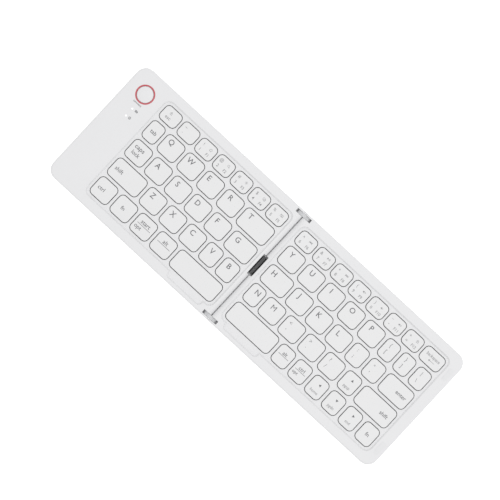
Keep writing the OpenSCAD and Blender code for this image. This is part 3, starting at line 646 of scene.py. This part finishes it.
# %% Domes
sheet_t = 0.2 * mm
dome_r = 2.8 * mm
dome_wall = 0.35 * mm
stem_r = 1.4 * mm
close_fit = 0.02 * mm
cap_floor = key_top - cap_sizes["Cap height"]
bevel = 0.1 * mm
lip_w, lip_h = 0.2 * mm, 0.4 * mm
sheet_low, dome_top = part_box("left_dome_sheet")
foot_z = sheet_low.z + sheet_t + close_fit
dome_z, shoulder_r = dome_top.z, 0.55 * dome_r
ceiling = dome_z - 0.5 * mm
dome_form = spun_form("dome_form", [
    (0, cap_floor - close_fit), (stem_r - bevel, cap_floor - close_fit), (stem_r, cap_floor - bevel),
    (stem_r, dome_z), (shoulder_r, dome_z - bevel), (dome_r - lip_w, foot_z + lip_h),
    (dome_r, foot_z), (dome_r - dome_wall, foot_z), (shoulder_r - dome_wall, ceiling),
    (0, ceiling)], dome_rubber)
for node, boxes in caps.items():
    middles = [((x0 + x1) / 2, (y0 + y1) / 2, 0) for x0, y0, x1, y1 in boxes]
    piece = set_on_points(node + "_domes", dome_form, middles, dome_rubber)
    x, y = middles[0][:2]
    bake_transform(piece)
bpy.data.objects.remove(dome_form)
for side in ("left", "right"):
    low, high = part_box(side + "_dome_sheet")
    top_corner = Vector((high.x, high.y, low.z + sheet_t))
    sheet = round_slab(side + "_sheet", low, top_corner, 1.5 * mm, dome_rubber)
    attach(sheet, side + "_half")
    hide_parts(side + "_dome_sheet")
print("domes:", sum(len(boxes) for boxes in caps.values()))

# %% [markdown]
# ## Inside the charging port
# The frame's port is a steel shell with a bare tongue. A thin black sleeve covers the tongue,
# and twelve gold contacts lie on each face of it, half a millimetre apart. They are set on
# points by the same tree as the domes.

# %% Tongue and contacts
port_low, port_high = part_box("charging_port")
port_mid = (port_low + port_high) / 2
sleeve_t = 0.03 * mm
sleeve_l = 4 * mm
tongue_w, tongue_t, tongue_in = 6.2 * mm, 0.7 * mm, 2 * mm
half_tongue = Vector((0, tongue_w / 2 + sleeve_t, tongue_t / 2 + sleeve_t))
tip = Vector((port_low.x + tongue_in - sleeve_t, port_mid.y, port_mid.z))
tongue = round_slab("port_tongue", tip - half_tongue, tip + half_tongue + Vector((sleeve_l, 0, 0)),
                    0.3 * mm, dark_parts)
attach(tongue, "left_half")
contact_count = 12
contact_pitch = 0.5 * mm
contact_size = Vector((2.4, 0.26, 0.06)) * mm
contact_x = tip.x + sleeve_t + 0.4 * mm + contact_size.x / 2
contact_form = round_slab("contact_form", -contact_size / 2, contact_size / 2, 0.05 * mm,
                          contact_gold)
places = []
for z in (tip.z - half_tongue.z, tip.z + half_tongue.z):
    for i in range(contact_count):
        y = tip.y + (i - (contact_count - 1) / 2) * contact_pitch
        places.append((contact_x, y, z))
contacts = set_on_points("port_contacts", contact_form, places, contact_gold)
bpy.data.objects.remove(contact_form)
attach(contacts, "left_half")
print("contacts:", len(places))

# %% [markdown]
# ## Printed signs
# The letters are printed on the caps as a thin grey film. Text objects from the built-in font
# are turned into flat meshes and set a hundredth of a millimetre above the plastic. Arrows and
# small signs are drawn as outlines with a width. All print on one body becomes one mesh.

# %% Drawing helpers
film = 0.012 * mm
bolder = 0.008  # thickens the strokes of the built-in font, whose M doesn't stand it
font_sample = bpy.data.curves.new("font_sample", "FONT")
font_sample.resolution_u = 3
font_piece = bpy.data.objects.new("font_sample", font_sample)
bpy.context.scene.collection.objects.link(font_piece)


def text_mesh(text):
    """Corners and faces of a word at size 1, before it is placed."""
    font_sample.body = text
    font_sample.offset = 0 if "M" in text else bolder
    bpy.context.view_layer.update()
    shaped = font_piece.evaluated_get(bpy.context.evaluated_depsgraph_get())
    mesh = bpy.data.meshes.new_from_object(shaped)
    corners = [(v.co.x, v.co.y) for v in mesh.vertices]
    faces = [tuple(p.vertices) for p in mesh.polygons]
    bpy.data.meshes.remove(mesh)
    return corners, faces


capital = max(y for x, y in text_mesh("H")[0])


class Print:
    """Flat signs gathered for one body: corners and faces at one height."""

    def __init__(self, height):
        self.height = height
        self.corners = []
        self.faces = []

    def add(self, corners, faces):
        first = len(self.corners)
        self.corners += [(x, y, self.height) for x, y in corners]
        self.faces += [tuple(first + i for i in face) for face in faces]

    def word(self, text, x, y, tall, wide=1.0, on_line=False):
        """A word centred on x and y, or with its line there if it has to match its neighbours.

        tall is the height of its capitals in millimetres."""
        corners, faces = text_mesh(text)
        scale = tall * mm / capital
        xs, ys = zip(*corners)
        middle_x = (min(xs) + max(xs)) / 2
        middle_y = capital / 2 if on_line else (min(ys) + max(ys)) / 2
        self.add([(x + (cx - middle_x) * scale * wide, y + (cy - middle_y) * scale)
                  for cx, cy in corners], faces)

    def stroke(self, points, x, y, width=0.22, closed=False):
        """A line with a width through points in millimetres about x and y."""
        spots = [Vector((px * mm, py * mm)) for px, py in points]
        count = len(spots)
        left, right = [], []
        for i, spot in enumerate(spots):
            before = spots[i - 1] if i or closed else spot
            after = spots[(i + 1) % count] if i < count - 1 or closed else spot
            run = (after - before).normalized()
            slant = 1.0
            if before != spot and after != spot:
                slant = max(0.4, abs((spot - before).normalized().dot(run)))
            aside = Vector((-run.y, run.x)) * (width * mm / 2 / slant)
            left.append((x + spot.x + aside.x, y + spot.y + aside.y))
            right.append((x + spot.x - aside.x, y + spot.y - aside.y))
        last = count if closed else count - 1
        following = [(i, (i + 1) % count) for i in range(last)]
        self.add(left + right, [(i, count + i, count + j, j) for i, j in following])

    def shape(self, points, x, y):
        """A filled outline through points in millimetres about x and y, anticlockwise."""
        self.add([(x + px * mm, y + py * mm) for px, py in points], [range(len(points))])


def ring_points(radius, start=0, end=360, steps=16, cx=0.0, cy=0.0):
    """Points on a circle or an arc, in millimetres."""
    count = steps if end - start == 360 else steps + 1
    angles = [math.radians(start + (end - start) * i / steps) for i in range(count)]
    return [(cx + radius * math.cos(a), cy + radius * math.sin(a)) for a in angles]


print("height of a capital at size 1:", round(capital, 3))

# %% [markdown]
# The signs of the top row stand in two columns: the mark and the number on the left, a small
# sign and the function number on the right. Each small sign is a few strokes about 2 mm wide.


# %% Small signs
def sign_home(p, x, y):
    p.stroke([(-1.1, -0.1), (0, 0.95), (1.1, -0.1)], x, y)
    p.stroke([(-0.75, 0.15), (-0.75, -0.85), (0.75, -0.85), (0.75, 0.15)], x, y)


def sign_lens(p, x, y):
    p.stroke(ring_points(0.7, cx=-0.15, cy=0.2), x, y, closed=True)
    p.stroke([(0.35, -0.3), (0.95, -0.9)], x, y, 0.3)


def sign_sun(p, x, y):
    p.stroke(ring_points(0.45), x, y, closed=True)
    for turn in range(0, 360, 45):
        c, s = math.cos(math.radians(turn)), math.sin(math.radians(turn))
        p.stroke([(0.75 * c, 0.75 * s), (1.1 * c, 1.1 * s)], x, y, 0.2)


def sign_back(p, x, y):
    p.shape([(-1.2, 0), (-0.1, -0.75), (-0.1, 0.75)], x, y)
    p.shape([(-0.1, 0), (1.0, -0.75), (1.0, 0.75)], x, y)
    p.stroke([(-1.3, 0.75), (-1.3, -0.75)], x, y, 0.25)


def sign_play(p, x, y):
    p.shape([(-1.2, -0.75), (0.1, 0), (-1.2, 0.75)], x, y)
    p.stroke([(0.45, 0.75), (0.45, -0.75)], x, y, 0.3)
    p.stroke([(1.0, 0.75), (1.0, -0.75)], x, y, 0.3)


def sign_next(p, x, y):
    p.shape([(-1.0, -0.75), (0.1, 0), (-1.0, 0.75)], x, y)
    p.shape([(0.1, -0.75), (1.2, 0), (0.1, 0.75)], x, y)
    p.stroke([(1.3, 0.75), (1.3, -0.75)], x, y, 0.25)


def sign_sound(p, x, y, waves=0, crossed=False):
    p.shape([(-1.2, -0.35), (-0.75, -0.35), (-0.1, -0.85), (-0.1, 0.85), (-0.75, 0.35),
             (-1.2, 0.35)], x, y)
    for i in range(waves):
        p.stroke(ring_points(0.55 + 0.45 * i, -42, 42, 6), x, y, 0.2)
    if crossed:
        p.stroke([(0.3, 0.4), (1.1, -0.4)], x, y, 0.22)
        p.stroke([(0.3, -0.4), (1.1, 0.4)], x, y, 0.22)


def sign_keys(p, x, y):
    p.stroke([(-1.2, 0.6), (1.2, 0.6), (1.2, -0.7), (-1.2, -0.7)], x, y, 0.2, closed=True)
    for px in (-0.7, -0.2, 0.3, 0.8):
        p.stroke([(px - 0.1, 0.15), (px + 0.1, 0.15)], x, y, 0.2)
    p.stroke([(-0.6, -0.3), (0.6, -0.3)], x, y, 0.2)


def sign_lock(p, x, y):
    p.stroke([(-0.75, 0.1), (0.75, 0.1), (0.75, -0.85), (-0.75, -0.85)], x, y, 0.2, closed=True)
    bow = ring_points(0.45, 180, 0, 8, 0, 0.5)
    p.stroke([(-0.45, 0.1), (-0.45, 0.5), *bow, (0.45, 0.1)], x, y, 0.2)


def sign_copy(p, x, y):
    p.stroke([(-0.95, 0.9), (0.35, 0.9), (0.35, -0.45), (-0.95, -0.45)], x, y, 0.2, closed=True)
    p.stroke([(0.35, 0.45), (0.95, 0.45), (0.95, -0.9), (-0.35, -0.9), (-0.35, -0.45)], x, y, 0.2)


def sign_battery(p, x, y):
    p.stroke([(-0.95, 0.5), (0.85, 0.5), (0.85, -0.5), (-0.95, -0.5)], x, y, 0.28, closed=True)
    p.shape([(-0.6, -0.2), (0.2, -0.2), (0.2, 0.2), (-0.6, 0.2)], x, y)
    p.stroke([(1.1, 0.25), (1.1, -0.25)], x, y, 0.3)


def arrow(p, x, y, reach, head):
    """An arrow with a shaft that points left."""
    p.stroke([(head - reach, 0), (reach, 0)], x, y, 0.26)
    p.shape([(-reach - 0.2, 0), (head - reach, -head), (head - reach, head)], x, y)


def arrowhead(p, x, y, turn):
    """A small solid triangle, turned by an angle in degrees from pointing left."""
    c, s = math.cos(math.radians(turn)), math.sin(math.radians(turn))
    leftwards = ((-0.95, 0), (0.75, -1.0), (0.75, 1.0))
    p.shape([(px * c - py * s, px * s + py * c) for px, py in leftwards], x, y)


# %% What stands on each cap
letters = {  # distance of a letter's centre from the cap's left and rear sides, in millimetres
    "q": (5.0, 4.1), "w": (5.1, 4.2), "e": (3.8, 4.1), "r": (5.3, 4.1), "t": (5.4, 4.1),
    "y": (5.6, 4.3), "u": (5.7, 4.2), "i": (4.8, 4.1), "o": (5.8, 4.1), "p": (5.2, 4.2),
    "a": (4.9, 4.4), "s": (4.6, 4.4), "d": (5.0, 4.5), "f": (4.6, 4.4), "g": (5.3, 4.4),
    "h": (5.3, 4.4), "j": (4.5, 4.3), "k": (5.1, 4.4), "l": (4.9, 4.6), "z": (4.8, 4.3),
    "x": (5.0, 4.3), "c": (5.0, 4.3), "v": (5.0, 4.7), "b": (5.1, 4.4), "n": (6.1, 4.4),
    "m": (6.9, 4.5),
}
prints = {node: Print(key_top + film) for node in key_nodes}
light_nodes = ("left_number_keys", "right_number_keys", "right_mark_keys")
for letter, (from_left, from_rear) in letters.items():
    x0, y0, x1, y1 = caps["key_" + letter][0]
    prints["key_" + letter].word(letter.upper(), x0 + from_left * mm, y1 - from_rear * mm, 3.65)

top_left = [("~", "`", None, ""), ("!", "1", sign_home, "F1"), ("@", "2", sign_lens, "F2"),
            ("#", "3", sign_sun, "F3"), ("$", "4", sign_copy, "F4"), ("%", "5", sign_keys, "F5")]
top_right = [("^", "6", sign_back, "F6"), ("&", "7", sign_play, "F7"), ("*", "8", sign_next, "F8"),
             ("(", "9", lambda p, x, y: sign_sound(p, x, y, 0, True), "F9"),
             (")", "0", lambda p, x, y: sign_sound(p, x, y, 1), "F10"),
             ("_", "-", lambda p, x, y: sign_sound(p, x, y, 2), "F11"), ("+", "=", sign_lock, "F12")]


def number_cap(p, box, mark, number, sign, function):
    x0, y0, x1, y1 = box
    left, right, upper, lower = x0 + 3.2 * mm, x0 + 9.4 * mm, y1 - 3.5 * mm, y1 - 7.7 * mm
    p.word(mark, left, upper, 2.1)
    p.word(number, left, lower, 2.1)
    if sign:
        sign(p, right, upper)
    if function:
        p.word(function, right, lower, 2.0, 0.95)


for box, signs in zip(caps["left_number_keys"][1:], top_left):
    number_cap(prints["left_number_keys"], box, *signs)
for box, signs in zip(caps["right_number_keys"][:7], top_right):
    number_cap(prints["right_number_keys"], box, *signs)


# %% Words on the side keys
def middle(box, dx=0.0, dy=0.0):
    """The centre of a cap, moved by some millimetres."""
    x0, y0, x1, y1 = box
    return (x0 + x1) / 2 + dx * mm, (y0 + y1) / 2 + dy * mm


def side_words(p, words):
    """Words on caps: the cap, the word, how far it is moved, its height and its width."""
    for box, word, dx, dy, tall, wide in words:
        p.word(word, *middle(box, dx, dy), tall, wide)


def rule(p, box, reach):
    """A line across the middle of a cap, between its two words."""
    p.stroke([(-reach, 0), (reach, 0)], *middle(box), 0.3)


esc, backspace = caps["left_number_keys"][0], caps["right_number_keys"][7]
sign_lock(prints["left_number_keys"], *middle(esc, -1.1, 1.9))
side_words(prints["left_number_keys"], [(esc, "esc", -1.1, -1.9, 2.3, 1)])
side_words(prints["right_number_keys"], [(backspace, "backspace", 0, 0.9, 2.2, 0.86)])
arrow(prints["right_number_keys"], *middle(backspace, 0.7, -1.9), 2.3, 0.85)

tab, caps_lock, shift, ctrl, fn, start, alt = caps["left_side_keys"]
side_words(prints["left_side_keys"], [
    (tab, "tab", 0, 0, 2.7, 1), (caps_lock, "caps", -1.2, 1.9, 2.9, 1.06),
    (caps_lock, "lock", -1.0, -1.7, 2.8, 0.93), (shift, "shift", -7.1, 0, 2.7, 1),
    (ctrl, "ctrl", -2.2, 0, 2.7, 1), (fn, "fn", -0.8, 0, 2.7, 1), (start, "start", 0, 2.1, 2.8, 1),
    (start, "opt", -3.1, -2.9, 2.7, 1), (alt, "alt", 0, 2.3, 2.8, 1),
])
for box in (start, alt):
    rule(prints["left_side_keys"], box, 5.5)

enter, up, shift, alt, ctrl, left, down, right, fn = caps["right_side_keys"]
side_words(prints["right_side_keys"], [
    (enter, "enter", 4.2, 0, 2.7, 1), (shift, "shift", 7.6, 0, 2.7, 1), (alt, "alt", 0, 2.0, 2.5, 1),
    (ctrl, "ctrl", 0, 2.0, 2.5, 1), (ctrl, "opt", -2.5, -2.7, 2.2, 1), (fn, "fn", 0, 0, 2.7, 1),
])
for box in (alt, ctrl):
    rule(prints["right_side_keys"], box, 4.3)
pale_words = Print(key_top + film)
for box, turn, word in ((up, -90, "pgup"), (left, 0, "home"), (down, 90, "pgdn"), (right, 180, "end")):
    arrowhead(prints["right_side_keys"], *middle(box, 0.6, 2.4), turn)
    pale_words.word(word, *middle(box, 0.1, -3.1), 2.0, 0.95, on_line=True)

mark_pairs = ["{[", "}]", "|\\", ":;", "\"'", "<,", ">.", "?/"]
for (x0, y0, x1, y1), marks in zip(caps["right_mark_keys"], mark_pairs):
    for mark, from_rear in zip(marks, (4.0, 9.3)):
        prints["right_mark_keys"].word(mark, x0 + 4.1 * mm, y1 - from_rear * mm, 2.6)


# %% The prints as thin pieces
def printed(name, p, ink):
    """A piece of print: its flat signs, thickened down to the plastic."""
    piece = mesh_piece(name, p.corners, p.faces, ink)
    thick = piece.modifiers.new("film", "SOLIDIFY")
    thick.thickness = film
    thick.offset = -1
    return plain_mesh(piece)


for node, p in prints.items():
    if p.faces:
        ink = print_light if node in light_nodes else print_grey
        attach(printed(node + "_print", p, ink), node)
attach(printed("pale_words_print", pale_words, print_light), "right_side_keys")
print("prints:", sum(len(p.faces) for p in prints.values()), "faces")

# %% [markdown]
# The strip at the left end has a pairing button in a red ring, and below it two status lights
# with a small sign each. The word under the button is the same grey print on the deck.

# %% Print on the strip
deck_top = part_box("right_top_deck")[1].z
strip = Print(deck_top + film)
connect_at = (-131.7 * mm, 25.4 * mm)
battery_sign_at = (-128.5 * mm, 20.9 * mm)
ring_sign_at = (-128.9 * mm, 14.7 * mm)
strip.word("connect", *connect_at, 1.45)
sign_battery(strip, *battery_sign_at)
strip.stroke(ring_points(0.8), *ring_sign_at, 0.28, closed=True)
strip.stroke([(0, 0.45), (0, -0.45)], *ring_sign_at, 0.3)
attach(printed("strip_print", strip, print_grey), "left_half")
bpy.data.objects.remove(font_piece)
bpy.data.curves.remove(font_sample)
print("strip print:", len(strip.faces), "faces")

# %% [markdown]
# ## Ribbon cable
# A flat film carries the signals from one half to the other. It lies on the contact sheets and
# dips over the saddle of the spine bar. It has to bend when the keyboard folds, and a blend
# works across one joint, so each side of the film is a piece of its own and meets the other
# under a stiff sleeve in the middle.

# %% Ribbon cable
ribbon_low, ribbon_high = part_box("ribbon_cable")
film_y = (-6.2 * mm, 7.8 * mm)
film_t = 0.3 * mm
sleeve_y = (-6.7 * mm, 8.3 * mm)
sleeve_top = ribbon_low.z + film_t + 0.3 * mm
saddle = 1.1 * mm
slope_run = 2 * mm
sheet_z = 2.2 * mm


def film_z(x):
    """Height of the film's underside at a distance from the fold line."""
    t = min(1, max(0, (abs(x) - saddle) / slope_run))
    return ribbon_low.z + (sheet_z - ribbon_low.z) * t * t * (3 - 2 * t)


def ribbon_half(name, sign, steps=48):
    """One side of the film: a thin band with a closed rim, from the sleeve outwards."""
    corners, faces = [], []
    front, rear = film_y
    for i in range(steps + 1):
        x = sign * ribbon_high.x * i / steps
        z = film_z(x)
        corners += [(x, front, z), (x, rear, z), (x, rear, z + film_t), (x, front, z + film_t)]
    for i in range(steps):
        for k in range(4):
            a, b = 4 * i + k, 4 * i + (k + 1) % 4
            face = (a, b, b + 4, a + 4)
            faces.append(face if sign > 0 else face[::-1])
    ends = [(0, 1, 2, 3), tuple(4 * steps + k for k in (3, 2, 1, 0))]
    faces += [end[::-1] if sign > 0 else end for end in ends]
    return mesh_piece(name, corners, faces, ribbon_black)


def ribbon_sleeve(bevel=0.15 * mm):
    """A stiff bar with bevelled upper edges, over the middle of the film."""
    z0, z1 = ribbon_low.z, sleeve_top
    outline = [(-saddle, z0), (saddle, z0), (saddle, z1 - bevel), (saddle - bevel, z1),
               (bevel - saddle, z1), (-saddle, z1 - bevel)]
    corners = [(x, y, z) for y in sleeve_y for x, z in outline]
    count = len(outline)
    faces = [(i, count + i, count + (i + 1) % count, (i + 1) % count) for i in range(count)]
    faces += [tuple(range(count)), tuple(range(count, 2 * count))[::-1]]
    return mesh_piece("ribbon_sleeve", corners, faces, sleeve_grey)


sleeve = ribbon_sleeve()
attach(sleeve, "hinge_links")
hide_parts("ribbon_cable")
left_band = ribbon_half("ribbon_left", -1)
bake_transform(left_band)
right_band = ribbon_half("ribbon_right", 1)
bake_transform(right_band)
print("ribbon from", round(ribbon_low.x / mm, 2), "to", round(ribbon_high.x / mm, 2), "mm")

# %% [markdown]
# ## Floor, backdrop and light
# The photograph is cut out on white, so the floor is pale and a share of what the camera sees
# of it is lifted to white, which leaves only a soft shadow. Metal and gloss see the same white.
# The object itself gets an even sky and one broad lamp from the picture's right, at a level
# where a colour renders about as it is written.


# %% Rays that only look
def seen_part(tree):
    """1 for rays that see a surface directly, in a mirror or through glass, 0 for light."""
    path = tree.nodes.new("ShaderNodeLightPath")
    seen = add_math(tree, "MAXIMUM", path.outputs["Is Camera Ray"], path.outputs["Is Glossy Ray"])
    return add_math(tree, "MAXIMUM", seen, path.outputs["Is Transmission Ray"])


# %% Floor
floor_half = 3.0
floor_glow = 0.55
floor_mesh = [(-floor_half, -floor_half, 0), (floor_half, -floor_half, 0),
              (floor_half, floor_half, 0), (-floor_half, floor_half, 0)]
floor_white = bpy.data.materials.new("floor_white")
floor_white.use_nodes = True
tree = floor_white.node_tree
shader = tree.nodes["Principled BSDF"]
shader.inputs["Base Color"].default_value = (0.86, 0.86, 0.86, 1)
shader.inputs["Roughness"].default_value = 0.9
shader.inputs["Emission Color"].default_value = (1, 1, 1, 1)
glow = add_math(tree, "MULTIPLY", seen_part(tree), floor_glow)
tree.links.new(glow, shader.inputs["Emission Strength"])
floor = mesh_piece("floor", floor_mesh, [(0, 1, 2, 3)], floor_white)
print("floor:", 2 * floor_half, "m wide")

# %% Sky and lamp
sky = bpy.data.worlds.new("studio")
sky.use_nodes = True
bpy.context.scene.world = sky
tree = sky.node_tree
background = tree.nodes["Background"]
background.inputs["Color"].default_value = (1, 1, 1, 1)
sky_level = 0.8
level = add_math(tree, "ADD", add_math(tree, "MULTIPLY", seen_part(tree), 1 - sky_level), sky_level)
tree.links.new(level, background.inputs["Strength"])
lamp = bpy.data.lights.new("broad_lamp", "AREA")
lamp.size = 1.8
lamp.energy = 14.5
holder = bpy.data.objects.new("broad_lamp", lamp)
holder.location = picture_right * 0.76 + Vector((0, 0, 2.4))
holder.rotation_euler = (-holder.location).to_track_quat("-Z", "Y").to_euler()
bpy.context.scene.collection.objects.link(holder)
bpy.context.scene.view_settings.view_transform = "Standard"
print("sky:", sky_level, "lamp:", lamp.energy, "W")
